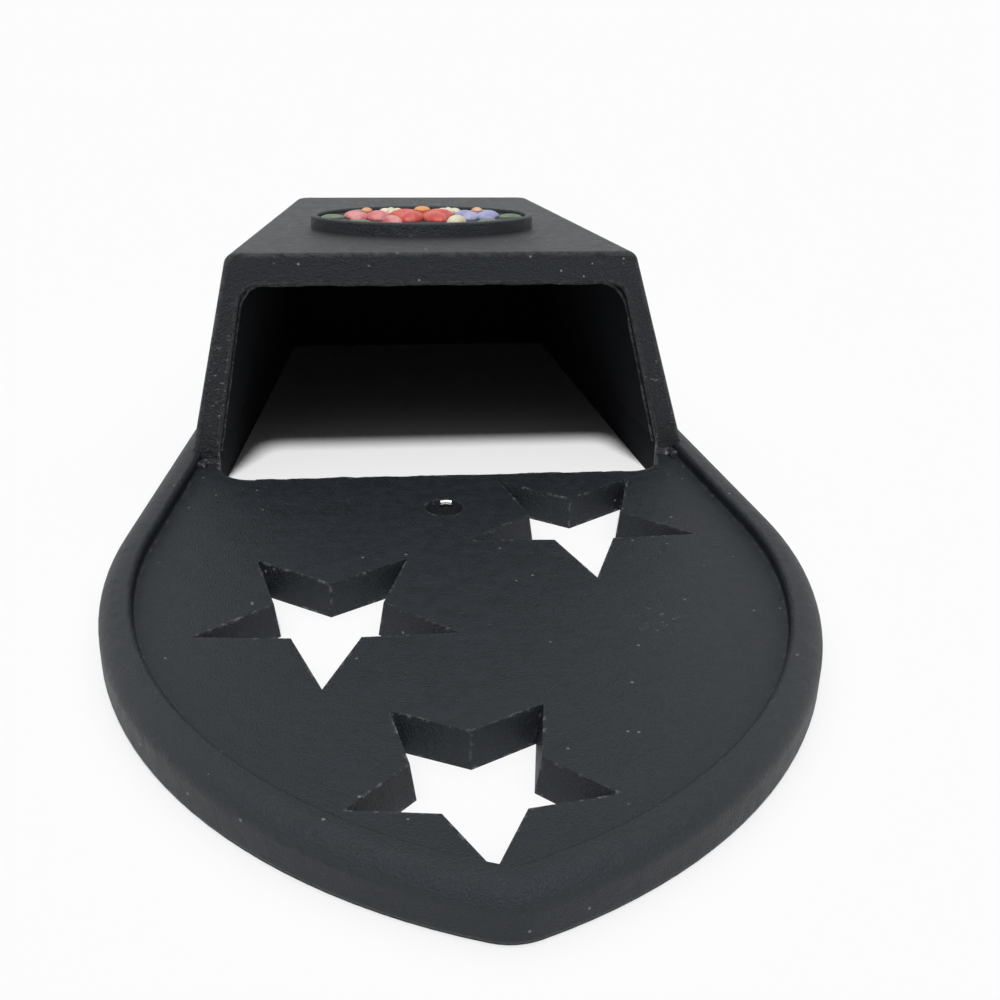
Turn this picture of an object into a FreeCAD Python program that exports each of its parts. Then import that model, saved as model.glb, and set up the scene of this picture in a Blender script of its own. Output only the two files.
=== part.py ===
import FreeCAD, Part
import math
import os
from types import SimpleNamespace

import Sketcher
from FreeCAD import Rotation, Vector

# Cast iron match holder, lying on its back: +Z points out of the wall, -Y is up when it hangs,
# and the origin is below the middle of the casting, in the plane of its back.

SIZES = {
    # shield-shaped back plate and the rounded rim along its edge
    "plate_thickness": 4.4,
    "tip_reach": 80.4,
    "tip_round": 6.8,
    "shield_half_width": 43.8,
    "shoulder_set_back": 20.5,
    "flank_turn": 9.0,
    "flank_end": 28.0,
    "flank_run_out": 40.0,
    "field_end": 20.0,
    "rim_width": 3.95,
    "rim_height": 1.8,
    "rim_outer_round": 2.6,
    "rim_inner_round": 0.7,
    "rim_foot_round": 0.3,
    "back_edge_round": 0.8,
    # five-pointed star cut-outs and the screw hole
    "star_draft_share": 0.9,
    "top_star_reach": 13.9,
    "top_star_notch": 7.0,
    "top_star_across": -1.6,
    "top_star_along": -61.6,
    "top_star_turn": 0.8,
    "left_star_reach": 16.0,
    "left_star_notch": 6.85,
    "left_star_across": -16.5,
    "left_star_along": -29.9,
    "left_star_turn": -2.0,
    "right_star_reach": 15.8,
    "right_star_notch": 6.7,
    "right_star_across": 17.0,
    "right_star_along": -7.8,
    "right_star_turn": -0.2,
    "screw_hole_diameter": 5.1,
    "screw_hole_across": -0.8,
    "screw_hole_along": -2.8,
    # match pocket: a tapered box, open at its mouth and at the back
    "mouth_along": 14.0,
    "pocket_length": 66.4,
    "sill_depth": 6.5,
    "sill_corner_round": 5.0,
    "mouth_foot_half_width": 36.4,
    "left_lean": 0.224,
    "right_lean": 0.306,
    "wall_thinning": 0.04,
    "mouth_height": 35.6,
    "end_foot_half_width": 26.9,
    "end_height": 27.6,
    "side_wall": 3.9,
    "front_wall": 4.7,
    "end_wall": 4.0,
    "end_corner_round": 3.0,
    "front_edge_round": 1.8,
    "ceiling_corner_round": 3.0,
    "mouth_edge_round": 0.5,
    # oval plaque on the front panel
    "plaque_half_width": 17.3,
    "plaque_half_length": 11.0,
    "plaque_across": -1.4,
    "plaque_along": 39.4,
    "plaque_height": 2.0,
    "plaque_lip": 1.1,
    "plaque_recess": 0.6,
    "plaque_edge_round": 0.3,
    # flowers, buds and leaves that stand on the plaque's field
    "petal_count": 5,
    "centre_petal_length": 2.9,
    "centre_petal_width": 1.8,
    "centre_petal_height": 1.3,
    "centre_petal_offset": 2.6,
    "centre_heart_radius": 1.25,
    "side_blossom_across": 8.6,
    "side_blossom_along": 0.2,
    "side_petal_length": 2.0,
    "side_petal_width": 1.35,
    "side_petal_height": 1.1,
    "side_petal_offset": 1.8,
    "side_heart_radius": 0.85,
    "heart_rise": 0.5,
    "bell_petal_count": 4,
    "bell_across": 4.6,
    "bell_along": 6.1,
    "bell_petal_length": 1.1,
    "bell_petal_width": 0.8,
    "bell_petal_height": 0.8,
    "bell_petal_offset": 0.95,
    "bud_across": 4.9,
    "bud_along": -5.9,
    "bud_length": 1.7,
    "bud_width": 1.15,
    "bud_height": 1.2,
    "bud_turn": 30.0,
    "leaf_length": 1.9,
    "leaf_width": 0.85,
    "leaf_height": 0.6,
    "end_leaf_across": 13.9,
    "end_leaf_along": 0.2,
    "end_leaf_turn": 0.0,
    "upper_leaf_across": 9.9,
    "upper_leaf_along": 5.7,
    "upper_leaf_turn": -30.0,
    "lower_leaf_across": 9.6,
    "lower_leaf_along": -5.6,
    "lower_leaf_turn": 30.0,
}
SIDES = (("left", -1), ("right", 1))


class Size:
    """A number with the sheet formula that gives it, so that geometry and bindings agree."""

    def __init__(self, value, formula):
        self.value = value
        self.formula = formula

    def join(self, sign, other, value):
        return Size(value, f"({self.formula} {sign} {other.formula})")

    def __add__(self, other):
        other = sized(other)
        return self.join("+", other, self.value + other.value)

    def __sub__(self, other):
        other = sized(other)
        return self.join("-", other, self.value - other.value)

    def __mul__(self, other):
        other = sized(other)
        return self.join("*", other, self.value * other.value)

    def __truediv__(self, other):
        other = sized(other)
        return self.join("/", other, self.value / other.value)

    def __neg__(self):
        return Size(-self.value, f"(0 - {self.formula})")

    def __float__(self):
        return float(self.value)


def sized(number):
    return number if isinstance(number, Size) else Size(number, str(number))


def arc_tangent(ratio):
    return Size(math.degrees(math.atan(ratio.value)), f"atan({ratio.formula})")


doc = FreeCAD.newDocument("match_holder")
sheet = doc.addObject("Spreadsheet::Sheet", "Sizes")
for row, (alias, value) in enumerate(SIZES.items(), start=1):
    sheet.set(f"A{row}", alias)
    sheet.set(f"B{row}", str(value))
    sheet.setAlias(f"B{row}", alias)
doc.recompute()
S = SimpleNamespace(**{alias: Size(value, f"Sizes.{alias}") for alias, value in SIZES.items()})

RIM_TOP = S.plate_thickness + S.rim_height
POCKET_END = S.mouth_along + S.pocket_length
FRONT_SLOPE = (S.mouth_height - S.end_height) / S.pocket_length
FOOT_TAPER = (S.mouth_foot_half_width - S.end_foot_half_width) / S.pocket_length
SIDE_LEANS = (S.left_lean, S.right_lean)
CAVITY_LEANS = (S.left_lean - S.wall_thinning, S.right_lean - S.wall_thinning)
NEAR = 1e-4


# Helpers for bodies, sketches and edges

def bind(obj, prop, size):
    """Tie a property to its formula in the sheet."""
    obj.setExpression(prop, sized(size).formula)


def new_body(label):
    body = doc.addObject("PartDesign::Body", label)
    body.Label = label
    return body


def origin_feature(body, role):
    return next(item for item in body.Origin.OriginFeatures if item.Role == role)


def attach(feature, body, role="XY_Plane", across=0, along=0, lift=0, turn=0):
    """Lay a sketch or primitive on one of its body's planes, moved and turned in that plane."""
    feature.AttachmentSupport = [(origin_feature(body, role), "")]
    feature.MapMode = "FlatFace"
    feature.AttachmentOffset.Rotation = Rotation(Vector(0, 0, 1), float(turn))
    for axis, size in (("x", across), ("y", along), ("z", lift)):
        bind(feature, f".AttachmentOffset.Base.{axis}", size)
    bind(feature, ".AttachmentOffset.Rotation.Angle", turn)
    return feature


def new_sketch(body, name, role="XY_Plane", **place):
    return attach(body.newObject("Sketcher::SketchObject", name), body, role, **place)


def hold(sketch, size, *constraint):
    """Add one driving dimension whose value follows the sheet."""
    index = sketch.addConstraint(Sketcher.Constraint(*constraint, abs(float(size))))
    bind(sketch, f"Constraints[{index}]", size)


def hold_point(sketch, curve, end, x, y):
    """Fix one end of a curve at a place measured from the sketch's origin."""
    for kind, axis, size in (("DistanceX", -2, sized(x)), ("DistanceY", -1, sized(y))):
        if size.value == 0:
            sketch.addConstraint(Sketcher.Constraint("PointOnObject", curve, end, axis))
        elif size.value > 0:
            hold(sketch, size, kind, -1, 1, curve, end)
        else:
            hold(sketch, -size, kind, curve, end, -1, 1)


def join_ends(sketch, curves):
    """Join each curve's end to the next one's start, round a closed chain."""
    for here, there in zip(curves, curves[1:] + curves[:1]):
        sketch.addConstraint(Sketcher.Constraint("Coincident", here, 2, there, 1))


def polygon(sketch, corners):
    points = [Vector(float(x), float(y), 0) for x, y in corners]
    ends = points[1:] + points[:1]
    sides = [sketch.addGeometry(Part.LineSegment(a, b)) for a, b in zip(points, ends)]
    join_ends(sketch, sides)
    for side, (x, y) in zip(sides, corners):
        hold_point(sketch, side, 1, x, y)


def pad(body, name, sketch, length):
    feature = body.newObject("PartDesign::Pad", name)
    feature.Profile = sketch
    bind(feature, "Length", length)
    return feature


def cut(body, name, sketch, depth):
    """Cut straight down from the sketch's plane."""
    feature = body.newObject("PartDesign::Pocket", name)
    feature.Profile = sketch
    bind(feature, "Length", depth)
    return feature


def round_edges(body, name, radius, chosen):
    """Round the edges of the body's last feature that the test picks out."""
    doc.recompute()
    base = body.Tip
    names = [f"Edge{i}" for i, edge in enumerate(base.Shape.Edges, start=1) if chosen(edge)]
    feature = body.newObject("PartDesign::Fillet", name)
    feature.Base = (base, names)
    bind(feature, "Radius", radius)
    return feature


def flat_at(edge, height):
    box = edge.BoundBox
    return abs(box.ZMin - float(height)) < NEAR and abs(box.ZMax - float(height)) < NEAR


def points_on(edge):
    """Both ends of an edge and its middle."""
    first, last = edge.FirstParameter, edge.LastParameter
    return [edge.valueAt(first + share * (last - first)) for share in (0.0, 0.5, 1.0)]


def runs_between(edge, start, end):
    """True if the edge's two ends are the given points, either way round."""
    ends = [vertex.Point for vertex in edge.Vertexes]
    if len(ends) != 2:
        return False
    start, end = Vector(*map(float, start)), Vector(*map(float, end))
    return any(a.distanceToPoint(start) < NEAR and b.distanceToPoint(end) < NEAR
               for a, b in (ends, ends[::-1]))


# Back plate: shield outline, rim, stars, screw hole and the opening behind the pocket

def side_round():
    """Radius of the side arc that starts on the tip's arc and is widest beside its own centre."""
    drop = S.tip_reach - S.tip_round - S.shoulder_set_back
    width = S.shield_half_width
    return (width * width + drop * drop - S.tip_round * S.tip_round) / ((width - S.tip_round) * 2)


SIDE_ROUND = side_round()
TIP_CENTRE = Vector(0, float(S.tip_round - S.tip_reach), 0)
SIDE_CENTRE = Vector(float(S.shield_half_width - SIDE_ROUND), -float(S.shoulder_set_back), 0)
FLANK_TURN = math.radians(float(S.flank_turn))


def half_shield(sketch, inset, end):
    """Right half of the outline: tip arc, side arc and straight flank, closed along the middle."""
    joint = math.atan2(*(TIP_CENTRE - SIDE_CENTRE)[1::-1])
    arcs = []
    for centre, radius, start, stop in (
            (TIP_CENTRE, S.tip_round - inset, -math.pi / 2, joint),
            (SIDE_CENTRE, SIDE_ROUND - inset, joint, FLANK_TURN)):
        circle = Part.Circle(centre, Vector(0, 0, 1), float(radius))
        arcs.append(sketch.addGeometry(Part.ArcOfCircle(circle, start, stop)))
    shoulder = sketch.getPoint(arcs[1], 2)
    rise = float(end) - shoulder.y
    flank_top = shoulder + Vector(-math.tan(FLANK_TURN) * rise, rise, 0)
    corners = [shoulder, flank_top, Vector(0, float(end + S.flank_run_out), 0),
               sketch.getPoint(arcs[0], 1)]
    flank, closing, middle = [sketch.addGeometry(Part.LineSegment(a, b))
                              for a, b in zip(corners, corners[1:])]
    sketch.addConstraint(Sketcher.Constraint("Tangent", arcs[0], 2, arcs[1], 1))
    sketch.addConstraint(Sketcher.Constraint("Tangent", arcs[1], 2, flank, 1))
    for here, there in ((flank, closing), (closing, middle), (middle, arcs[0])):
        sketch.addConstraint(Sketcher.Constraint("Coincident", here, 2, there, 1))
    hold(sketch, S.tip_round - inset, "Radius", arcs[0])
    hold_point(sketch, arcs[0], 3, 0, S.tip_round - S.tip_reach)
    sketch.addConstraint(Sketcher.Constraint("PointOnObject", arcs[0], 1, -2))
    hold_point(sketch, arcs[1], 3, S.shield_half_width - SIDE_ROUND, -S.shoulder_set_back)
    slant = sketch.addConstraint(Sketcher.Constraint("Angle", flank, math.pi / 2 + FLANK_TURN))
    sketch.setExpression(f"Constraints[{slant}]", f"(90 + {S.flank_turn.formula}) * 1 deg")
    hold(sketch, end, "DistanceY", -1, 1, flank, 2)
    hold_point(sketch, closing, 2, 0, end + S.flank_run_out)


def on_shield(edge, inset):
    """True if the edge follows the outline at this inset: the tip, a side or a flank."""
    folded = [Vector(abs(point.x), point.y, 0) for point in points_on(edge)]
    away = Vector(math.cos(FLANK_TURN), math.sin(FLANK_TURN), 0)
    tip, side = float(S.tip_round - inset), float(SIDE_ROUND - inset)
    misses = ([p.distanceToPoint(TIP_CENTRE) - tip for p in folded],
              [p.distanceToPoint(SIDE_CENTRE) - side for p in folded],
              [(p - SIDE_CENTRE).dot(away) - side for p in folded])
    return any(all(abs(miss) < NEAR for miss in group) for group in misses)


def star(sketch, reach, notch):
    """A five-pointed star with one point towards -Y, on an outer and an inner circle."""
    rings = [(reach, []), (notch, [])]
    corners = []
    for step in range(10):
        angle = math.radians(36 * step - 90)
        corners.append(Vector(math.cos(angle), math.sin(angle), 0) * float(rings[step % 2][0]))
    sides = [sketch.addGeometry(Part.LineSegment(a, b))
             for a, b in zip(corners, corners[1:] + corners[:1])]
    join_ends(sketch, sides)
    for step, side in enumerate(sides):
        rings[step % 2][1].append(side)
    for radius, on_ring in rings:
        circle = sketch.addGeometry(Part.Circle(Vector(), Vector(0, 0, 1), float(radius)), True)
        sketch.addConstraint(Sketcher.Constraint("Coincident", circle, 3, -1, 1))
        hold(sketch, radius, "Radius", circle)
        for side in on_ring:
            sketch.addConstraint(Sketcher.Constraint("PointOnObject", side, 1, circle))
    for side in sides[1:]:
        sketch.addConstraint(Sketcher.Constraint("Equal", sides[0], side))
    sketch.addConstraint(Sketcher.Constraint("PointOnObject", sides[0], 1, -2))


def pocket_opening(sketch):
    """The hole in the plate: the pocket's foot, with a sill in front of its mouth."""
    inner = S.mouth_foot_half_width - S.side_wall
    sill = S.mouth_along - S.sill_depth
    right = [(inner, sill), (inner, S.mouth_along), (S.mouth_foot_half_width, S.mouth_along),
             (S.end_foot_half_width, POCKET_END)]
    polygon(sketch, right + [(-x, y) for x, y in reversed(right)])


def back_plate():
    body = new_body("back_plate")
    outline = new_sketch(body, "outline")
    half_shield(outline, sized(0), S.flank_end)
    half = pad(body, "half_plate", outline, RIM_TOP)
    field = new_sketch(body, "field", lift=RIM_TOP)
    half_shield(field, S.rim_width, S.field_end)
    recess = cut(body, "field_recess", field, S.rim_height)
    whole = body.newObject("PartDesign::Mirrored", "both_halves")
    whole.Originals = [half, recess]
    whole.MirrorPlane = (origin_feature(body, "YZ_Plane"), [""])
    whole.Refine = True
    body.Tip = whole
    for name, radius, height, inset in (
            ("rim_outer_edge", S.rim_outer_round, RIM_TOP, sized(0)),
            ("rim_inner_edge", S.rim_inner_round, RIM_TOP, S.rim_width),
            ("rim_foot", S.rim_foot_round, S.plate_thickness, S.rim_width),
            ("back_edge", S.back_edge_round, sized(0), sized(0))):
        round_edges(body, name, radius,
                    lambda edge: flat_at(edge, height) and on_shield(edge, inset))
    for name in ("top_star", "left_star", "right_star"):
        across, along, turn, reach, notch = [
            getattr(S, f"{name}_{what}") for what in ("across", "along", "turn", "reach", "notch")]
        outlines = []
        for face, lift, share in (("front", S.plate_thickness, sized(1)),
                                  ("back", sized(0), S.star_draft_share)):
            outlines.append(new_sketch(body, f"{name}_{face}", across=across, along=along,
                                       lift=lift, turn=turn))
            star(outlines[-1], reach * share, notch * share)
        opening = body.newObject("PartDesign::SubtractiveLoft", name)
        opening.Profile = outlines[0]
        opening.Sections = outlines[1:]
        opening.Ruled = True
    ring = new_sketch(body, "screw_hole_outline", across=S.screw_hole_across,
                      along=S.screw_hole_along, lift=S.plate_thickness)
    radius = float(S.screw_hole_diameter / 2)
    circle = ring.addGeometry(Part.Circle(Vector(), Vector(0, 0, 1), radius))
    ring.addConstraint(Sketcher.Constraint("Coincident", circle, 3, -1, 1))
    hold(ring, S.screw_hole_diameter, "Diameter", circle)
    cut(body, "screw_hole", ring, S.plate_thickness)
    gap = new_sketch(body, "pocket_opening_outline", lift=RIM_TOP)
    pocket_opening(gap)
    cut(body, "pocket_opening", gap, RIM_TOP)
    inner_side = S.mouth_foot_half_width - S.side_wall
    sill = S.mouth_along - S.sill_depth
    round_edges(body, "sill_corners", S.sill_corner_round, lambda edge: any(
        runs_between(edge, (x, sill, 0), (x, sill, S.plate_thickness))
        for x in (inner_side, -inner_side)))
    return body


# Match pocket: front panel, leaning sides and closed end as one tapered shell

def leaning(foot, lean, height):
    """Half width of the pocket at a height above the top of the rim, where its sides lean in."""
    return foot - lean * (height - RIM_TOP)


def pocket_section(sketch, foot, leans, height):
    """Upright as far as the rim is high, then leaning in to the front panel, each side its own way."""
    left, right = [leaning(foot, lean, height) for lean in leans]
    polygon(sketch, [(foot, 0), (foot, RIM_TOP), (right, height),
                     (-left, height), (-foot, RIM_TOP), (-foot, 0)])


def taper(body, kind, name, leans, mouth, end):
    """Loft between the section at the pocket's end and the one at its mouth."""
    sections = []
    for label, (along, foot, height) in (("end", end), ("mouth", mouth)):
        section = new_sketch(body, f"{name}_{label}", "XZ_Plane", lift=-along)
        pocket_section(section, foot, leans, height)
        sections.append(section)
    feature = body.newObject(kind, name)
    feature.Profile = sections[0]
    feature.Sections = sections[1:]
    feature.Ruled = True
    return feature


def match_pocket():
    body = new_body("match_pocket")
    mouth = (S.mouth_along, S.mouth_foot_half_width, S.mouth_height)
    end = (POCKET_END, S.end_foot_half_width, S.end_height)
    taper(body, "PartDesign::AdditiveLoft", "outside", SIDE_LEANS, mouth, end)
    round_edges(body, "end_corners", S.end_corner_round, is_end_corner)
    round_edges(body, "front_edges", S.front_edge_round, on_front_border)
    ceiling_at_mouth = S.mouth_height - S.front_wall
    ceiling_at_end = S.end_height - S.front_wall + FRONT_SLOPE * S.end_wall
    cavity_mouth = (S.mouth_along, S.mouth_foot_half_width - S.side_wall, ceiling_at_mouth)
    cavity_end = (POCKET_END - S.end_wall,
                  S.end_foot_half_width - S.side_wall + FOOT_TAPER * S.end_wall,
                  ceiling_at_end)
    taper(body, "PartDesign::SubtractiveLoft", "match_space", CAVITY_LEANS,
          cavity_mouth, cavity_end)
    corners = [[(leaning(foot, lean, height) * way, along, height)
                for along, foot, height in (cavity_mouth, cavity_end)]
               for (_, way), lean in zip(SIDES, CAVITY_LEANS)]
    round_edges(body, "ceiling_corners", S.ceiling_corner_round,
                lambda edge: any(runs_between(edge, *corner) for corner in corners))
    round_edges(body, "mouth_edges", S.mouth_edge_round, on_mouth_border)
    return body


def is_end_corner(edge):
    """The corners between the pocket's sides and its closed end, foot and leaning part alike."""
    ends = [vertex.Point for vertex in edge.Vertexes]
    far = all(abs(point.y - POCKET_END.value) < NEAR for point in ends)
    return far and abs(ends[0].z - ends[1].z) > NEAR


def on_front_border(edge):
    """Edges round the front panel, except the one across the mouth."""
    mouth = float(S.mouth_along)
    slope = FRONT_SLOPE.value
    points = points_on(edge)
    in_panel = all(abs(p.z - S.mouth_height.value + slope * (p.y - mouth)) < 1e-3 for p in points)
    return in_panel and any(p.y > mouth + NEAR for p in points)


def on_mouth_border(edge):
    """Edges of the mouth's face that stand clear of the back plate."""
    box = edge.BoundBox
    in_face = abs(box.YMin - S.mouth_along.value) < NEAR and abs(box.YMax - S.mouth_along.value) < NEAR
    return in_face and box.ZMin > S.plate_thickness.value - NEAR


# Oval plaque and the flower relief on it

def oval(sketch, half_width, half_length):
    ellipse = sketch.addGeometry(Part.Ellipse(Vector(), float(half_width), float(half_length)))
    sketch.exposeInternalGeometry(ellipse)
    across, along = ellipse + 1, ellipse + 2
    sketch.addConstraint(Sketcher.Constraint("Coincident", ellipse, 3, -1, 1))
    sketch.addConstraint(Sketcher.Constraint("Horizontal", across))
    hold(sketch, half_width * 2, "Distance", across)
    hold(sketch, half_length * 2, "Distance", along)


def medallion_plaque():
    """The plaque lies on the sloping front panel, which its placement follows."""
    body = new_body("medallion_plaque")
    rim = new_sketch(body, "plaque_rim")
    oval(rim, S.plaque_half_width, S.plaque_half_length)
    pad(body, "plaque_disc", rim, S.plaque_height)
    field = new_sketch(body, "plaque_field", lift=S.plaque_height)
    oval(field, S.plaque_half_width - S.plaque_lip, S.plaque_half_length - S.plaque_lip)
    cut(body, "plaque_recess_cut", field, S.plaque_recess)
    round_edges(body, "plaque_edges", S.plaque_edge_round,
                lambda edge: flat_at(edge, S.plaque_height))
    tilt = arc_tangent(FRONT_SLOPE)
    body.Placement.Rotation = Rotation(Vector(-1, 0, 0), tilt.value)
    bind(body, ".Placement.Rotation.Angle", tilt)
    bind(body, ".Placement.Base.x", S.plaque_across)
    bind(body, ".Placement.Base.y", S.plaque_along)
    bind(body, ".Placement.Base.z",
         S.mouth_height - FRONT_SLOPE * (S.plaque_along - S.mouth_along))
    return body


def on_plaque(piece, across, along, turn=0):
    """Stand a piece on the plaque's field, at a place measured from the plaque's centre."""
    across, along, turn = sized(across), sized(along), sized(turn)
    lift = S.plaque_height - S.plaque_recess
    piece.setExpression("Placement", "medallion_plaque.Placement * placement("
                        f"vector({across.formula}; {along.formula}; {lift.formula}); "
                        f"rotation(vector(0; 0; 1); {turn.formula}))")
    return piece


def petal_ring(label, count, length, width, height, offset):
    """Domed petals in a ring, joined where they overlap."""
    body = new_body(label)
    petal = attach(body.newObject("PartDesign::AdditiveEllipsoid", "petal"), body, along=offset)
    petal.Angle1 = 0
    for prop, size in (("Radius1", height), ("Radius2", width), ("Radius3", length)):
        bind(petal, prop, size)
    ring = body.newObject("PartDesign::PolarPattern", "petals")
    ring.Originals = [petal]
    ring.Axis = (origin_feature(body, "Z_Axis"), [""])
    ring.Angle = 360
    bind(ring, "Occurrences", count)
    body.Tip = ring
    return body


def blossom(label, count, length, width, height, offset, heart_radius, across, along):
    """Domed petals round a seat for the heart."""
    body = petal_ring(label, count, length, width, height, offset)
    seat = attach(body.newObject("PartDesign::SubtractiveCylinder", "heart_seat"), body)
    bind(seat, "Radius", heart_radius)
    bind(seat, "Height", height * 2)
    return on_plaque(body, across, along)


def heart(label, radius, height, across, along):
    """A round button in the middle of a blossom, domed above its petals."""
    body = new_body(label)
    stem = attach(body.newObject("PartDesign::AdditiveCylinder", "stem"), body)
    bind(stem, "Radius", radius)
    bind(stem, "Height", height)
    dome = attach(body.newObject("PartDesign::AdditiveEllipsoid", "dome"), body, lift=height)
    dome.Angle1 = 0
    for prop, size in (("Radius1", S.heart_rise), ("Radius2", radius), ("Radius3", radius)):
        bind(dome, prop, size)
    return on_plaque(body, across, along)


def mound(label, length, width, height, across, along, turn):
    """Half of an ellipsoid, flat side down: a bud or a leaf."""
    piece = doc.addObject("Part::Ellipsoid", label)
    piece.Angle1 = 0
    for prop, size in (("Radius1", height), ("Radius2", length), ("Radius3", width)):
        bind(piece, prop, size)
    return on_plaque(piece, across, along, turn)


def centre_flower():
    size = (S.centre_petal_length, S.centre_petal_width, S.centre_petal_height)
    return [blossom("centre_blossom", S.petal_count, *size, S.centre_petal_offset,
                    S.centre_heart_radius, 0, 0),
            heart("centre_heart", S.centre_heart_radius, S.centre_petal_height, 0, 0)]


def side_flowers(side, way):
    across = S.side_blossom_across * way
    petal = (S.side_petal_length, S.side_petal_width, S.side_petal_height)
    return [blossom(f"{side}_blossom", S.petal_count, *petal, S.side_petal_offset,
                    S.side_heart_radius, across, S.side_blossom_along),
            heart(f"{side}_heart", S.side_heart_radius, S.side_petal_height,
                  across, S.side_blossom_along)]


def bell_flower(side, way):
    body = petal_ring(f"{side}_bell", S.bell_petal_count, S.bell_petal_length,
                      S.bell_petal_width, S.bell_petal_height, S.bell_petal_offset)
    return on_plaque(body, S.bell_across * way, S.bell_along)


def buds_and_leaves(side, way):
    leaf = (S.leaf_length, S.leaf_width, S.leaf_height)
    return [
        mound(f"{side}_bud", S.bud_length, S.bud_width, S.bud_height,
              S.bud_across * way, S.bud_along, S.bud_turn * way),
        mound(f"{side}_end_leaf", *leaf,
              S.end_leaf_across * way, S.end_leaf_along, S.end_leaf_turn * way),
        mound(f"{side}_upper_leaf", *leaf,
              S.upper_leaf_across * way, S.upper_leaf_along, S.upper_leaf_turn * way),
        mound(f"{side}_lower_leaf", *leaf,
              S.lower_leaf_across * way, S.lower_leaf_along, S.lower_leaf_turn * way),
    ]


# Build every piece, check it and write it

def flower_relief():
    pieces = centre_flower()
    for side, way in SIDES:
        pieces += side_flowers(side, way)
        pieces.append(bell_flower(side, way))
        pieces += buds_and_leaves(side, way)
    return pieces


def check(pieces):
    broken = [obj.Name for obj in doc.Objects if {"Invalid", "Error"} & set(obj.State)]
    broken += [piece.Label for piece in pieces if piece.Shape.isNull() or not piece.Shape.isValid()]
    if broken:
        raise RuntimeError(f"failed: {broken}")


def write(pieces):
    os.makedirs("parts", exist_ok=True)
    for piece in pieces:
        piece.Shape.exportStep(f"parts/{piece.Label}.step")
        box = piece.Shape.BoundBox
        print(f"{piece.Label:18s} solids {len(piece.Shape.Solids)} volume {piece.Shape.Volume:9.1f} "
              f"x {box.XMin:6.1f} {box.XMax:6.1f} y {box.YMin:6.1f} {box.YMax:6.1f} "
              f"z {box.ZMin:5.1f} {box.ZMax:5.1f}")


nodes = [back_plate(), match_pocket(), medallion_plaque()] + flower_relief()
doc.recompute()
check(nodes)
write(nodes)
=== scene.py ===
import math

import bpy
from mathutils import Euler, Matrix


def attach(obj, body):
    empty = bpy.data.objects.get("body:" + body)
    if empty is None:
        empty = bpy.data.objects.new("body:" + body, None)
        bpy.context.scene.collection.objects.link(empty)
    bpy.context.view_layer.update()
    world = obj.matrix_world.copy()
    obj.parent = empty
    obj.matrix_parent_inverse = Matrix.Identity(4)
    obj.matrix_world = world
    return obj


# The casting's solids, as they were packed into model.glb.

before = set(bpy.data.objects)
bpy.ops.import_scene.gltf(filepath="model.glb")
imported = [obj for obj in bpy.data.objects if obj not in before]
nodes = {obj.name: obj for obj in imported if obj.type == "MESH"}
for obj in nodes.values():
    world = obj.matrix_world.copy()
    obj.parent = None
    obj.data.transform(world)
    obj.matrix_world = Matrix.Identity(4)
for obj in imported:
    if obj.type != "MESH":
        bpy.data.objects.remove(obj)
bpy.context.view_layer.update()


# The viewpoint: a hand-held phone close above the plate's tip, looking up the plate into the
# open mouth of the pocket, turned a little to the right and tilted.

camera_data = bpy.data.cameras.new("viewpoint")
camera_data.sensor_width = 36.0
camera_data.lens = 47.78
camera_data.clip_start = 0.004
camera_data.clip_end = 30.0
camera_data.dof.use_dof = False
camera = bpy.data.objects.new("viewpoint", camera_data)
bpy.context.scene.collection.objects.link(camera)
turned = Matrix.Rotation(math.radians(-6.95), 4, "Z")
pitched = Matrix.Rotation(math.radians(90.0 - 26.13), 4, "X")
rolled = Matrix.Rotation(math.radians(1.58), 4, "Z")
camera.matrix_world = (Matrix.Translation((-0.01301, -0.16628, 0.08608))
                       @ turned @ pitched @ rolled)
bpy.context.scene.camera = camera
bpy.context.scene.view_settings.view_transform = "Standard"


# The table and the light: a plain white table top under a high soft lamp on the viewer's side,
# which shines a short way into the pocket. The pale room lights from above, and is plain
# white where it is seen straight or mirrored.

def add_node(tree, kind, place, **values):
    """Add one node. Values named for an input are set on it, and others on the node."""
    node = tree.nodes.new(kind)
    node.location = place
    for key, value in values.items():
        socket = node.inputs.get(key.replace("_", " "))
        if socket is not None:
            socket.default_value = value
        else:
            setattr(node, key, value)
    return node


room = bpy.data.worlds.new("pale_room")
bpy.context.scene.world = room
room.use_nodes = True
room.node_tree.nodes.clear()
link = room.node_tree.links.new
seen = add_node(room.node_tree, "ShaderNodeLightPath", (-700, 300))
way = add_node(room.node_tree, "ShaderNodeTexCoord", (-900, -100))
axes = add_node(room.node_tree, "ShaderNodeSeparateXYZ", (-700, -100))
overhead = add_node(
    room.node_tree, "ShaderNodeMapRange", (-500, 0), interpolation_type="SMOOTHSTEP",
    From_Min=0.55, From_Max=0.95, To_Min=0.03, To_Max=0.55)
mirrored = add_node(room.node_tree, "ShaderNodeMath", (-500, 300), operation="MAXIMUM")
through = add_node(room.node_tree, "ShaderNodeMath", (-340, 300), operation="MAXIMUM")
level = add_node(room.node_tree, "ShaderNodeMix", (-140, 100), data_type="FLOAT")
level.inputs["B"].default_value = 1.0
air = add_node(room.node_tree, "ShaderNodeBackground", (40, 100), Color=(1.0, 1.0, 1.0, 1.0))
sky = add_node(room.node_tree, "ShaderNodeOutputWorld", (220, 100))
link(way.outputs["Generated"], axes.inputs["Vector"])
link(axes.outputs["Z"], overhead.inputs["Value"])
link(seen.outputs["Is Camera Ray"], mirrored.inputs[0])
link(seen.outputs["Is Glossy Ray"], mirrored.inputs[1])
link(mirrored.outputs[0], through.inputs[0])
link(seen.outputs["Is Transmission Ray"], through.inputs[1])
link(through.outputs[0], level.inputs["Factor"])
link(overhead.outputs["Result"], level.inputs["A"])
link(level.outputs["Result"], air.inputs["Strength"])
link(air.outputs["Background"], sky.inputs["Surface"])

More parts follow.
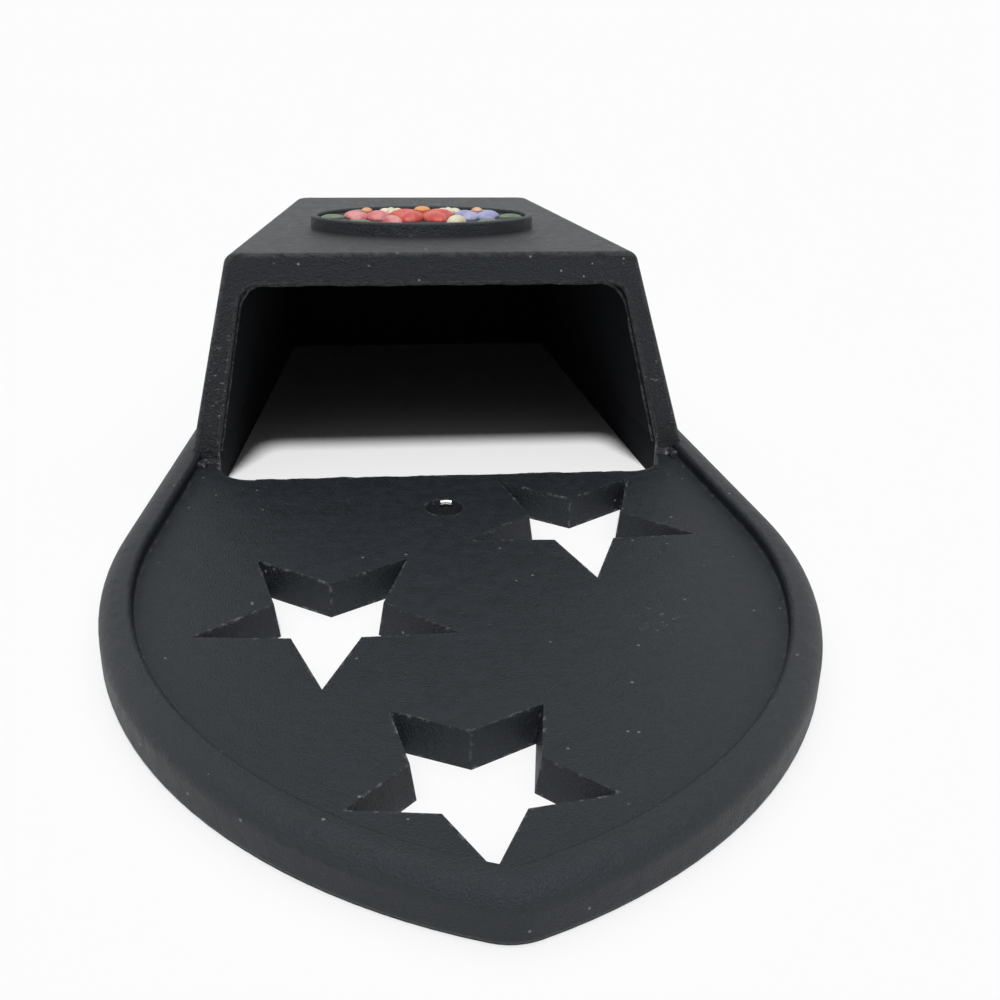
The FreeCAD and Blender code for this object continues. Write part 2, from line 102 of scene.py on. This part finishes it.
lamp_data = bpy.data.lights.new("high_soft_lamp", "SUN")
lamp_data.energy = 2.7
lamp_data.angle = math.radians(9.0)
lamp = bpy.data.objects.new("high_soft_lamp", lamp_data)
lamp.rotation_euler = Euler((math.radians(27.0), 0.0, math.radians(-6.0)))
bpy.context.scene.collection.objects.link(lamp)

table_mesh = bpy.data.meshes.new("table_top")
half_table = 4.0
corners = ((-1, -1), (1, -1), (1, 1), (-1, 1))
table_mesh.from_pydata([(half_table * x, half_table * y, 0.0) for x, y in corners],
                       [], [(0, 1, 2, 3)])
table = bpy.data.objects.new("table_top", table_mesh)
bpy.context.scene.collection.objects.link(table)
lacquer = bpy.data.materials.new("white_table")
lacquer.use_nodes = True
lacquer.node_tree.nodes.clear()
surface = add_node(lacquer.node_tree, "ShaderNodeBsdfDiffuse", (0, 0),
                   Color=(0.96, 0.96, 0.963, 1.0))
board = add_node(lacquer.node_tree, "ShaderNodeOutputMaterial", (200, 0))
lacquer.node_tree.links.new(surface.outputs["BSDF"], board.inputs["Surface"])
table_mesh.materials.append(lacquer)


# Back plate: one thick shield-shaped casting with a rounded rim, three pierced stars and a
# screw hole. Sand-cast iron, blacked all over, with the black rubbed off along its edges.

def new_group(name, inputs, outputs):
    """A shared surface effect, as a node group with named sockets."""
    group = bpy.data.node_groups.new(name, "ShaderNodeTree")
    for label, kind, value in inputs:
        socket = group.interface.new_socket(label, in_out="INPUT", socket_type=kind)
        if value is not None:
            socket.default_value = value
    for label, kind in outputs:
        group.interface.new_socket(label, in_out="OUTPUT", socket_type=kind)
    return group, group.nodes.new("NodeGroupInput"), group.nodes.new("NodeGroupOutput")


def sand_cast_surface():
    """Height of a sand-cast face, in metres: fine grain, small pits and a slow unevenness."""
    group, given, made = new_group(
        "sand_cast_surface",
        [("Vector", "NodeSocketVector", None), ("Grain", "NodeSocketFloat", 1.0),
         ("Pits", "NodeSocketFloat", 1.0)],
        [("Height", "NodeSocketFloat"), ("Mottle", "NodeSocketFloat")])
    link = group.links.new
    fine = add_node(group, "ShaderNodeTexNoise", (-600, 300),
                    Scale=3900.0, Detail=3.0, Roughness=0.62)
    coarse = add_node(group, "ShaderNodeTexNoise", (-600, 50),
                      Scale=620.0, Detail=3.0, Roughness=0.55)
    slow = add_node(group, "ShaderNodeTexNoise", (-600, -200),
                    Scale=95.0, Detail=2.0, Roughness=0.5)
    holes = add_node(group, "ShaderNodeTexVoronoi", (-600, -450), Scale=420.0, Randomness=1.0)
    for texture in (fine, coarse, slow, holes):
        link(given.outputs["Vector"], texture.inputs["Vector"])
    grain = add_node(group, "ShaderNodeMath", (-400, 300), operation="MULTIPLY")
    grain.inputs[1].default_value = 0.00026
    link(fine.outputs["Fac"], grain.inputs[0])
    graded = add_node(group, "ShaderNodeMath", (-240, 300), operation="MULTIPLY")
    link(grain.outputs[0], graded.inputs[0])
    link(given.outputs["Grain"], graded.inputs[1])
    lumps = add_node(group, "ShaderNodeMath", (-400, 50), operation="MULTIPLY_ADD")
    lumps.inputs[1].default_value = 0.00016
    link(coarse.outputs["Fac"], lumps.inputs[0])
    link(graded.outputs[0], lumps.inputs[2])
    swell = add_node(group, "ShaderNodeMath", (-240, 50), operation="MULTIPLY_ADD")
    swell.inputs[1].default_value = 0.00045
    link(slow.outputs["Fac"], swell.inputs[0])
    link(lumps.outputs[0], swell.inputs[2])
    deep = add_node(group, "ShaderNodeMapRange", (-400, -450),
                    From_Min=0.05, From_Max=0.22, To_Min=1.0, To_Max=0.0)
    link(holes.outputs["Distance"], deep.inputs["Value"])
    rare = add_node(group, "ShaderNodeMath", (-240, -250), operation="GREATER_THAN")
    rare.inputs[1].default_value = 0.56
    link(slow.outputs["Fac"], rare.inputs[0])
    pitted = add_node(group, "ShaderNodeMath", (-240, -450), operation="MULTIPLY")
    link(deep.outputs["Result"], pitted.inputs[0])
    link(given.outputs["Pits"], pitted.inputs[1])
    placed = add_node(group, "ShaderNodeMath", (-80, -450), operation="MULTIPLY")
    link(pitted.outputs[0], placed.inputs[0])
    link(rare.outputs[0], placed.inputs[1])
    sunk = add_node(group, "ShaderNodeMath", (80, 0), operation="MULTIPLY_ADD")
    sunk.inputs[1].default_value = -0.00012
    link(placed.outputs[0], sunk.inputs[0])
    link(swell.outputs[0], sunk.inputs[2])
    link(sunk.outputs[0], made.inputs["Height"])
    link(coarse.outputs["Fac"], made.inputs["Mottle"])
    return group


def keep_share(group, given, noise, contrast):
    """Keep the stated share of a noise's high spots, with edges as sharp as the contrast."""
    limit = add_node(group, "ShaderNodeMath", (-400, -50), operation="SUBTRACT")
    limit.inputs[0].default_value = 1.0
    group.links.new(given.outputs["Share"], limit.inputs[1])
    above = add_node(group, "ShaderNodeMath", (-220, -150), operation="SUBTRACT")
    group.links.new(noise.outputs["Fac"], above.inputs[0])
    group.links.new(limit.outputs[0], above.inputs[1])
    sharp = add_node(group, "ShaderNodeMath", (-60, -150), operation="MULTIPLY", use_clamp=True)
    sharp.inputs[1].default_value = contrast
    group.links.new(above.outputs[0], sharp.inputs[0])
    return sharp.outputs[0]


def rubbed_edges():
    """A mask that is 1 where an edge of the casting is rubbed bare, broken up by the grain."""
    group, given, made = new_group(
        "rubbed_edges",
        [("Vector", "NodeSocketVector", None), ("Reach", "NodeSocketFloat", 0.0005),
         ("Share", "NodeSocketFloat", 0.5)],
        [("Mask", "NodeSocketFloat")])
    link = group.links.new
    softened = add_node(group, "ShaderNodeBevel", (-600, 200), samples=6)
    link(given.outputs["Reach"], softened.inputs["Radius"])
    face = add_node(group, "ShaderNodeNewGeometry", (-600, 0))
    turn = add_node(group, "ShaderNodeVectorMath", (-400, 100), operation="DOT_PRODUCT")
    link(softened.outputs["Normal"], turn.inputs[0])
    link(face.outputs["Normal"], turn.inputs[1])
    edge = add_node(group, "ShaderNodeMapRange", (-220, 100), From_Min=0.995, From_Max=0.90)
    link(turn.outputs["Value"], edge.inputs["Value"])
    patches = add_node(group, "ShaderNodeTexNoise", (-600, -250),
                       Scale=900.0, Detail=4.0, Roughness=0.7)
    link(given.outputs["Vector"], patches.inputs["Vector"])
    both = add_node(group, "ShaderNodeMath", (100, 0), operation="MULTIPLY", use_clamp=True)
    link(edge.outputs["Result"], both.inputs[0])
    link(keep_share(group, given, patches, contrast=9.0), both.inputs[1])
    link(both.outputs[0], made.inputs["Mask"])
    return group


def bright_specks():
    """A mask of tiny bare or dusty specks, scattered over a blacked face."""
    group, given, made = new_group(
        "bright_specks",
        [("Vector", "NodeSocketVector", None), ("Spacing", "NodeSocketFloat", 900.0),
         ("Size", "NodeSocketFloat", 0.12), ("Share", "NodeSocketFloat", 0.3)],
        [("Mask", "NodeSocketFloat")])
    link = group.links.new
    cells = add_node(group, "ShaderNodeTexVoronoi", (-600, 100), Randomness=1.0)
    link(given.outputs["Vector"], cells.inputs["Vector"])
    link(given.outputs["Spacing"], cells.inputs["Scale"])
    picked = add_node(group, "ShaderNodeSeparateColor", (-400, 0))
    link(cells.outputs["Color"], picked.inputs["Color"])
    few = add_node(group, "ShaderNodeMath", (-220, 0), operation="LESS_THAN")
    link(picked.outputs["Red"], few.inputs[0])
    link(given.outputs["Share"], few.inputs[1])
    small = add_node(group, "ShaderNodeMath", (-400, 200), operation="LESS_THAN")
    link(cells.outputs["Distance"], small.inputs[0])
    link(given.outputs["Size"], small.inputs[1])
    both = add_node(group, "ShaderNodeMath", (-60, 100), operation="MULTIPLY")
    link(few.outputs[0], both.inputs[0])
    link(small.outputs[0], both.inputs[1])
    link(both.outputs[0], made.inputs["Mask"])
    return group


def patch_of_marks():
    """A mask of irregular marks that fill a soft round patch about one point."""
    group, given, made = new_group(
        "patch_of_marks",
        [("Vector", "NodeSocketVector", None), ("Centre", "NodeSocketVector", None),
         ("Reach", "NodeSocketFloat", 0.005), ("Scale", "NodeSocketFloat", 700.0),
         ("Share", "NodeSocketFloat", 0.4)],
        [("Mask", "NodeSocketFloat")])
    link = group.links.new
    away = add_node(group, "ShaderNodeVectorMath", (-600, 150), operation="DISTANCE")
    link(given.outputs["Vector"], away.inputs[0])
    link(given.outputs["Centre"], away.inputs[1])
    near = add_node(group, "ShaderNodeMapRange", (-400, 150), interpolation_type="SMOOTHSTEP",
                    To_Min=1.0, To_Max=0.0)
    link(away.outputs["Value"], near.inputs["Value"])
    link(given.outputs["Reach"], near.inputs["From Max"])
    marks = add_node(group, "ShaderNodeTexNoise", (-600, -150), Detail=4.0, Roughness=0.65)
    link(given.outputs["Vector"], marks.inputs["Vector"])
    link(given.outputs["Scale"], marks.inputs["Scale"])
    both = add_node(group, "ShaderNodeMath", (100, 0), operation="MULTIPLY", use_clamp=True)
    link(near.outputs["Result"], both.inputs[0])
    link(keep_share(group, given, marks, contrast=12.0), both.inputs[1])
    link(both.outputs[0], made.inputs["Mask"])
    return group


CAST_SURFACE = sand_cast_surface()
EDGE_RUB = rubbed_edges()
SPECKS = bright_specks()
MARKS = patch_of_marks()


def place_group(tree, group, place, vector, **values):
    """Use a shared effect in a material, with its values and the place it reads."""
    node = add_node(tree, "ShaderNodeGroup", place)
    node.node_tree = group
    for key, value in values.items():
        node.inputs[key].default_value = value
    tree.links.new(vector, node.inputs["Vector"])
    return node


def new_material(name):
    """An empty node material, with its tree and the object's own coordinates in it."""
    material = bpy.data.materials.new(name)
    material.use_nodes = True
    tree = material.node_tree
    tree.nodes.clear()
    return material, tree, add_node(tree, "ShaderNodeTexCoord", (-1200, 0)).outputs["Object"]


def show_shader(tree, shader):
    """Make a shader the surface of its material."""
    end = add_node(tree, "ShaderNodeOutputMaterial", (240, 100))
    tree.links.new(shader.outputs["BSDF"], end.inputs["Surface"])


def either_mask(tree, place, first, second):
    """The stronger of two masks, kept between 0 and 1."""
    node = add_node(tree, "ShaderNodeMath", place, operation="MAXIMUM", use_clamp=True)
    tree.links.new(first, node.inputs[0])
    tree.links.new(second, node.inputs[1])
    return node.outputs[0]


def blacked_iron(name, black, worn, grain, pits, rub, specks, sheen=0.45, scuffs=(), holes=()):
    """Blacked cast iron: satin black over sand grain, rubbed to grey metal at the edges.

    Scuffs and holes are (centre, reach, scale, share) patches of light marks and of pits."""
    material, tree, here = new_material(name)
    link = tree.links.new
    cast = place_group(tree, CAST_SURFACE, (-950, -300), here, Grain=grain, Pits=pits)
    rubbed = place_group(tree, EDGE_RUB, (-950, 100), here, Reach=0.0007, Share=rub)
    dots = place_group(tree, SPECKS, (-950, 350), here, Spacing=900.0, Size=0.16, Share=specks)
    bare = either_mask(tree, (-600, 400), rubbed.outputs["Mask"], dots.outputs["Mask"])
    for step, (centre, reach, scale, share) in enumerate(scuffs):
        marks = place_group(tree, MARKS, (-950, 600 + 250 * step), here, Centre=centre,
                            Reach=reach, Scale=scale, Share=share)
        bare = either_mask(tree, (-600, 600 + 250 * step), bare, marks.outputs["Mask"])
    tone = add_node(tree, "ShaderNodeMix", (-600, 200), data_type="RGBA")
    darker, paler = 0.55, 1.5
    tone.inputs["A"].default_value = (*[channel * darker for channel in black], 1.0)
    tone.inputs["B"].default_value = (*[channel * paler for channel in black], 1.0)
    link(cast.outputs["Mottle"], tone.inputs["Factor"])
    colour = add_node(tree, "ShaderNodeMix", (-350, 250), data_type="RGBA")
    colour.inputs["B"].default_value = (*worn, 1.0)
    link(bare, colour.inputs["Factor"])
    link(tone.outputs["Result"], colour.inputs["A"])
    gloss = add_node(tree, "ShaderNodeMapRange", (-600, -50), To_Min=0.38, To_Max=0.64)
    link(cast.outputs["Mottle"], gloss.inputs["Value"])
    height = cast.outputs["Height"]
    hole_depth = 0.0004
    for step, (centre, reach, scale, share) in enumerate(holes):
        sunk = place_group(tree, MARKS, (-950, -600 - 250 * step), here, Centre=centre,
                           Reach=reach, Scale=scale, Share=share)
        lower = add_node(tree, "ShaderNodeMath", (-700, -600 - 250 * step),
                         operation="MULTIPLY_ADD")
        lower.inputs[1].default_value = -hole_depth
        link(sunk.outputs["Mask"], lower.inputs[0])
        link(height, lower.inputs[2])
        height = lower.outputs[0]
    relief = add_node(tree, "ShaderNodeBump", (-450, -300), Strength=1.0, Distance=1.0)
    link(height, relief.inputs["Height"])
    iron = add_node(tree, "ShaderNodeBsdfPrincipled", (-80, 100))
    iron.inputs["Specular IOR Level"].default_value = sheen
    iron.inputs["Specular Tint"].default_value = (0.88, 0.95, 1.0, 1.0)
    link(colour.outputs["Result"], iron.inputs["Base Color"])
    link(gloss.outputs["Result"], iron.inputs["Roughness"])
    link(relief.outputs["Normal"], iron.inputs["Normal"])
    show_shader(tree, iron)
    return material


def dress(obj, *materials):
    """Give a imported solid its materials, and change nothing else of it."""
    obj.data.materials.clear()
    for material in materials:
        obj.data.materials.append(material)


PLATE_TOP = 0.0044
dress(nodes["back_plate"], blacked_iron(
    "plate_black", black=(0.0075, 0.0095, 0.0125), worn=(0.16, 0.16, 0.162),
    grain=0.9, pits=0.7, rub=0.48, specks=0.035, sheen=0.38,
    scuffs=[((0.0220, -0.0342, PLATE_TOP), 0.0045, 900.0, 0.42),
            ((-0.0300, 0.0050, PLATE_TOP), 0.0080, 1400.0, 0.36),
            ((0.0325, 0.0060, PLATE_TOP), 0.0070, 1400.0, 0.36)],
    holes=[((-0.0232, -0.0023, PLATE_TOP), 0.0032, 800.0, 0.5),
           ((-0.0157, -0.0021, PLATE_TOP), 0.0042, 900.0, 0.5)]))


# Match pocket: a tapered box cast in one with the plate, open at the top when it hangs and at
# the back. Its face round the mouth is coarser, its corners are rubbed, and its inward faces
# take a darker, duller copy of the black as painted shade.

def painted_shade_black(name):
    """A darker, near-matt copy of the black for the pocket's inward faces: painted shade, with
    hardly any shine.
    """
    material, tree, here = new_material(name)
    link = tree.links.new
    cast = place_group(tree, CAST_SURFACE, (-650, -200), here, Grain=1.2, Pits=1.0)
    tone = add_node(tree, "ShaderNodeMix", (-400, 150), data_type="RGBA")
    tone.inputs["A"].default_value = (0.002, 0.0026, 0.004, 1.0)
    tone.inputs["B"].default_value = (0.0065, 0.0075, 0.0105, 1.0)
    link(cast.outputs["Mottle"], tone.inputs["Factor"])
    relief = add_node(tree, "ShaderNodeBump", (-400, -200), Strength=1.0, Distance=1.0)
    link(cast.outputs["Height"], relief.inputs["Height"])
    shaded_iron = add_node(tree, "ShaderNodeBsdfPrincipled", (-80, 100), Roughness=0.85)
    shaded_iron.inputs["Specular IOR Level"].default_value = 0.16
    link(tone.outputs["Result"], shaded_iron.inputs["Base Color"])
    link(relief.outputs["Normal"], shaded_iron.inputs["Normal"])
    show_shader(tree, shaded_iron)
    return material


MOUTH = 0.0140
LIP = 0.0006
END_WALL_FROM = 0.0240
POCKET_MIDDLE = 0.0120
ALONG = 0.9
dress(nodes["match_pocket"], blacked_iron(
    "pocket_black", black=(0.0070, 0.0082, 0.0105), worn=(0.30, 0.30, 0.30),
    grain=1.7, pits=1.2, rub=0.58, specks=0.09, sheen=0.46,
    scuffs=[((-0.0345, MOUTH, 0.0170), 0.0110, 1700.0, 0.40),
            ((0.0340, MOUTH, 0.0140), 0.0120, 1700.0, 0.38),
            ((-0.0100, MOUTH, 0.0345), 0.0120, 1500.0, 0.36),
            ((0.0240, MOUTH, 0.0345), 0.0070, 1500.0, 0.36)],
    holes=[((0.0222, MOUTH, 0.0346), 0.0012, 600.0, 0.7)]), painted_shade_black("pocket_painted_shade"))
# The inward faces past the lip take the painted-shade copy of the black.
for face in nodes["match_pocket"].data.polygons:
    inward = POCKET_MIDDLE - face.center.z
    aims_in = face.normal.z * inward - face.normal.x * face.center.x > 0.0
    in_end = face.normal.y < -ALONG and face.center.y > END_WALL_FROM
    past_lip = face.center.y > MOUTH + LIP
    face.material_index = int(past_lip and (in_end or (aims_in and abs(face.normal.y) < ALONG)))


# Oval plaque: a low disc with a thin raised lip, cast on the pocket's front and blacked too.

dress(nodes["medallion_plaque"], blacked_iron(
    "plaque_black", black=(0.0075, 0.0088, 0.0110), worn=(0.17, 0.168, 0.165),
    grain=0.8, pits=0.3, rub=0.4, specks=0.02))


# Flower relief: blossoms, buds and leaves cast on the plaque's field and picked out by hand in
# satin paint of two tones in soft strokes, with painted shade darkening it toward black in the
# hollows and where pieces meet.

def hand_paint(name, colour, shade):
    """Brushed paint over iron: two tones in soft strokes, with painted shade darkening it toward
    black in nooks and where pieces meet.
    """
    material, tree, here = new_material(name)
    link = tree.links.new
    strokes = add_node(tree, "ShaderNodeTexNoise", (-950, 200),
                       Scale=520.0, Detail=3.0, Roughness=0.6)
    link(here, strokes.inputs["Vector"])
    spread = add_node(tree, "ShaderNodeMapRange", (-780, 200), From_Min=0.38, From_Max=0.62)
    link(strokes.outputs["Fac"], spread.inputs["Value"])
    tone = add_node(tree, "ShaderNodeMix", (-600, 200), data_type="RGBA")
    tone.inputs["A"].default_value = (*colour, 1.0)
    tone.inputs["B"].default_value = (*shade, 1.0)
    link(spread.outputs["Result"], tone.inputs["Factor"])
    # Painted shade: ambient occlusion darkens the paint toward near-black in nooks and where
    # pieces meet.
    crease_shade = add_node(tree, "ShaderNodeAmbientOcclusion", (-780, -50), samples=6, Distance=0.0007)
    unshaded_share = add_node(tree, "ShaderNodeMapRange", (-600, -50), From_Min=0.35, From_Max=0.7)
    link(crease_shade.outputs["AO"], unshaded_share.inputs["Value"])
    paint_with_painted_shade = add_node(tree, "ShaderNodeMix", (-350, 150), data_type="RGBA")
    paint_with_painted_shade.inputs["A"].default_value = (0.02, 0.018, 0.02, 1.0)
    link(unshaded_share.outputs["Result"], paint_with_painted_shade.inputs["Factor"])
    link(tone.outputs["Result"], paint_with_painted_shade.inputs["B"])
    cast = place_group(tree, CAST_SURFACE, (-950, -350), here, Grain=0.5, Pits=0.0)
    relief = add_node(tree, "ShaderNodeBump", (-600, -350), Strength=0.8, Distance=1.0)
    link(cast.outputs["Height"], relief.inputs["Height"])
    gloss = add_node(tree, "ShaderNodeMapRange", (-600, -200), To_Min=0.34, To_Max=0.55)
    link(strokes.outputs["Fac"], gloss.inputs["Value"])
    paint = add_node(tree, "ShaderNodeBsdfPrincipled", (-80, 100))
    link(paint_with_painted_shade.outputs["Result"], paint.inputs["Base Color"])
    link(gloss.outputs["Result"], paint.inputs["Roughness"])
    link(relief.outputs["Normal"], paint.inputs["Normal"])
    show_shader(tree, paint)
    return material


coral = hand_paint("coral_paint", (0.56, 0.06, 0.05), (0.66, 0.17, 0.13))
orange = hand_paint("orange_paint", (0.75, 0.26, 0.07), (0.8, 0.38, 0.14))
pink = hand_paint("pink_paint", (0.62, 0.12, 0.14), (0.72, 0.33, 0.32))
lavender = hand_paint("lavender_paint", (0.27, 0.28, 0.5), (0.42, 0.43, 0.62))
peach = hand_paint("peach_paint", (0.72, 0.36, 0.2), (0.78, 0.5, 0.34))
cream = hand_paint("cream_paint", (0.68, 0.6, 0.42), (0.78, 0.72, 0.58))
green = hand_paint("green_paint", (0.1, 0.15, 0.09), (0.2, 0.25, 0.16))
dress(nodes["centre_blossom"], coral)
dress(nodes["centre_heart"], orange)
for side, blossom_paint, bud_paint in (("left", pink, pink), ("right", lavender, cream)):
    dress(nodes[f"{side}_blossom"], blossom_paint)
    dress(nodes[f"{side}_heart"], peach)
    dress(nodes[f"{side}_bell"], cream)
    dress(nodes[f"{side}_bud"], bud_paint)
    for leaf in ("end_leaf", "upper_leaf", "lower_leaf"):
        dress(nodes[f"{side}_{leaf}"], green)


# Casting flash: the rough thin lip that the sand mould left inside the pocket's mouth, the
# ragged edge of the sill, and the small lumpy fillets at the feet of the pocket's sides.

def rough_bead_tree():
    """A bead that follows its mesh's edges, as thick as it is told and uneven all along."""
    tree = bpy.data.node_groups.new("rough_bead", "GeometryNodeTree")
    tree.interface.new_socket("Geometry", in_out="INPUT", socket_type="NodeSocketGeometry")
    for label, kind, value in (("Radius", "NodeSocketFloat", 0.0003),
                               ("Wobble", "NodeSocketFloat", 0.0002),
                               ("Scale", "NodeSocketFloat", 500.0),
                               ("Seed", "NodeSocketFloat", 0.0),
                               ("Material", "NodeSocketMaterial", None)):
        socket = tree.interface.new_socket(label, in_out="INPUT", socket_type=kind)
        if value is not None:
            socket.default_value = value
    tree.interface.new_socket("Geometry", in_out="OUTPUT", socket_type="NodeSocketGeometry")
    link = tree.links.new
    given = tree.nodes.new("NodeGroupInput")
    made = tree.nodes.new("NodeGroupOutput")
    line = add_node(tree, "GeometryNodeMeshToCurve", (-800, 200))
    steps = add_node(tree, "GeometryNodeResampleCurve", (-640, 200), mode="LENGTH")
    steps.inputs["Length"].default_value = 0.00022
    ring = add_node(tree, "GeometryNodeCurvePrimitiveCircle", (-640, 0), mode="RADIUS")
    ring.inputs["Resolution"].default_value = 10
    skin = add_node(tree, "GeometryNodeCurveToMesh", (-460, 200))
    skin.inputs["Fill Caps"].default_value = True
    where = add_node(tree, "GeometryNodeInputPosition", (-800, -200))
    lumps = add_node(tree, "ShaderNodeTexNoise", (-640, -200), noise_dimensions="4D", Detail=3.0)
    out_of = add_node(tree, "GeometryNodeInputNormal", (-460, -350))
    about = add_node(tree, "ShaderNodeMath", (-460, -200), operation="SUBTRACT")
    about.inputs[1].default_value = 0.5
    sized = add_node(tree, "ShaderNodeMath", (-300, -200), operation="MULTIPLY")
    push = add_node(tree, "ShaderNodeVectorMath", (-140, -250), operation="SCALE")
    moved = add_node(tree, "GeometryNodeSetPosition", (20, 200))
    smooth = add_node(tree, "GeometryNodeSetShadeSmooth", (180, 200))
    real = add_node(tree, "GeometryNodeRealizeInstances", (340, 200))
    coated = add_node(tree, "GeometryNodeSetMaterial", (500, 200))
    link(given.outputs["Geometry"], line.inputs["Mesh"])
    link(line.outputs["Curve"], steps.inputs["Curve"])
    link(given.outputs["Radius"], ring.inputs["Radius"])
    link(steps.outputs["Curve"], skin.inputs["Curve"])
    link(ring.outputs["Curve"], skin.inputs["Profile Curve"])
    link(where.outputs["Position"], lumps.inputs["Vector"])
    link(given.outputs["Scale"], lumps.inputs["Scale"])
    link(given.outputs["Seed"], lumps.inputs["W"])
    link(lumps.outputs["Fac"], about.inputs[0])
    link(about.outputs[0], sized.inputs[0])
    link(given.outputs["Wobble"], sized.inputs[1])
    link(out_of.outputs["Normal"], push.inputs[0])
    link(sized.outputs[0], push.inputs["Scale"])
    link(skin.outputs["Mesh"], moved.inputs["Geometry"])
    link(push.outputs["Vector"], moved.inputs["Offset"])
    link(moved.outputs["Geometry"], smooth.inputs["Geometry"])
    link(smooth.outputs["Geometry"], real.inputs["Geometry"])
    link(real.outputs["Geometry"], coated.inputs["Geometry"])
    link(given.outputs["Material"], coated.inputs["Material"])
    link(coated.outputs["Geometry"], made.inputs["Geometry"])
    return tree


ROUGH_BEAD = rough_bead_tree()


def rough_bead(name, path, material, **sizes):
    """Grow a bead along a line of (x, y, z) points, as a plain mesh that rides the casting."""
    mesh = bpy.data.meshes.new(name)
    mesh.from_pydata(path, [(k, k + 1) for k in range(len(path) - 1)], [])
    bead = bpy.data.objects.new(name, mesh)
    bpy.context.scene.collection.objects.link(bead)
    grow = bead.modifiers.new("grow", "NODES")
    grow.node_group = ROUGH_BEAD
    for item in ROUGH_BEAD.interface.items_tree:
        if item.in_out == "INPUT" and item.name in sizes:
            grow[item.identifier] = sizes[item.name]
        elif item.in_out == "INPUT" and item.name == "Material":
            grow[item.identifier] = material
    posed = bead.evaluated_get(bpy.context.evaluated_depsgraph_get())
    bead.data = bpy.data.meshes.new_from_object(posed)
    bead.modifiers.clear()
    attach(bead, "root")


MOUTH_FOOT = 0.0324
MOUTH_FOOT_TOP = 0.0058
MOUTH_LEAN_FROM = 0.0062
MOUTH_CEILING = 0.0308
MOUTH_CORNER = 0.0030
MOUTH_LEANS = ((-1, 0.184), (1, 0.266))
FLASH_SET_IN = 0.0013


def mouth_path():
    """Up the left side of the mouth, round its corners, along its ceiling and down the right."""
    along = MOUTH + FLASH_SET_IN
    knee = MOUTH_CEILING - MOUTH_CORNER
    still_leaning = 0.3
    path = []
    for way, lean in MOUTH_LEANS:
        side = MOUTH_FOOT - lean * (MOUTH_CEILING - MOUTH_LEAN_FROM)
        run = [(way * MOUTH_FOOT, along, MOUTH_FOOT_TOP),
               (way * (side + lean * MOUTH_CORNER), along, knee)]
        for turn in (25.0, 50.0, 75.0):
            angle = math.radians(turn)
            across = MOUTH_CORNER * (still_leaning * lean - 1.0 + math.cos(angle))
            run.append((way * (side + across), along, knee + MOUTH_CORNER * math.sin(angle)))
        run.append((way * (side - MOUTH_CORNER), along, MOUTH_CEILING))
        path += run if way < 0 else run[::-1]
    return path


flash_iron = blacked_iron(
    "flash_black", black=(0.0075, 0.0088, 0.0115), worn=(0.34, 0.34, 0.34),
    grain=1.3, pits=0.8, rub=0.52, specks=0.10)
rough_bead("mouth_flash", mouth_path(), flash_iron,
           Radius=0.00032, Wobble=0.00050, Scale=420.0, Seed=3.0)
SILL = 0.0076
SILL_HALF_MM = 27
rough_bead("sill_flash",
           [(mm / 1000.0, SILL, 0.0041) for mm in range(-SILL_HALF_MM, SILL_HALF_MM + 1)],
           flash_iron, Radius=0.00030, Wobble=0.00060, Scale=330.0, Seed=8.0)
for side, way in (("left", -1), ("right", 1)):
    rough_bead(f"{side}_foot_fillet",
               [(way * 0.0326, MOUTH - 0.0001, PLATE_TOP),
                (way * 0.0348, MOUTH - 0.0002, PLATE_TOP),
                (way * 0.0352, MOUTH - 0.0022, PLATE_TOP + 0.0002)],
               flash_iron, Radius=0.00075, Wobble=0.00090, Scale=380.0, Seed=5.0 + way)


# Painted highlight: a near-white metal bead along the far edge of the screw hole, standing in
# for the glint there.

def painted_highlight_metal(name):
    """Iron rubbed clean: pale and satin, with faint scratches."""
    # Near-white satin metal for a painted highlight, with faint scratches in its roughness.
    material, tree, here = new_material(name)
    scratches = add_node(tree, "ShaderNodeTexNoise", (-500, 0), Scale=3000.0, Detail=2.0)
    tree.links.new(here, scratches.inputs["Vector"])
    rough = add_node(tree, "ShaderNodeMapRange", (-300, 0), To_Min=0.22, To_Max=0.42)
    tree.links.new(scratches.outputs["Fac"], rough.inputs["Value"])
    metal = add_node(tree, "ShaderNodeBsdfPrincipled", (-80, 0), Metallic=1.0)
    metal.inputs["Base Color"].default_value = (0.93, 0.93, 0.92, 1.0)
    tree.links.new(rough.outputs["Result"], metal.inputs["Roughness"])
    show_shader(tree, metal)
    return material


# Painted highlight: a bright metal bead at the screw hole's far edge.
rough_bead("hole_glint",
           [(-0.0012, -0.00045, 0.0040), (-0.0004, -0.0003, 0.0040), (0.0004, -0.0005, 0.0040)],
           painted_highlight_metal("glint_bead_metal"), Radius=0.00034, Wobble=0.00012, Scale=900.0, Seed=1.0)
